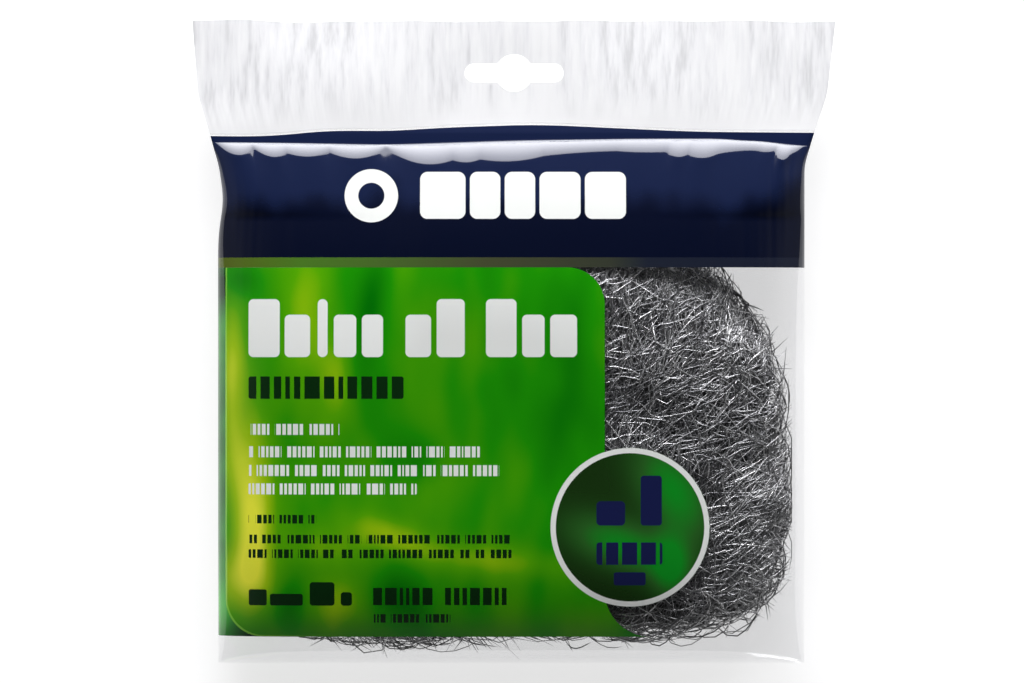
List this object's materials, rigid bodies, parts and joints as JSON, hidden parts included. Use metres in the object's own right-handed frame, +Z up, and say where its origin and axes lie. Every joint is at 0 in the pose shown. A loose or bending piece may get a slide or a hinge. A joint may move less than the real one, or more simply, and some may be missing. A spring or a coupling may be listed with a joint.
{
  "type": "bagged steel wool pad",
  "caption": "Flat pad of coarse steel wool in a printed clear film bag with a ribbed hanging header and slot.",
  "frame": {"origin": "under the middle of the bag's outline, on the surface the bag lies on", "axes": "+X across the bag to the right as its front is read, +Y from its foot towards the hanging header, +Z up, out of the printed front"},
  "size_m": [0.2082, 0.2078, 0.026],
  "materials": {
    "printed_film": "thin clear film, printed in navy and green, with a milky ribbed header",
    "steel_wool": "coarse tangled bright steel strands"
  },
  "bodies": {
    "root": {"bag": "printed_film", "steel_wool_pad": "steel_wool"}
  },
  "joints": []
}
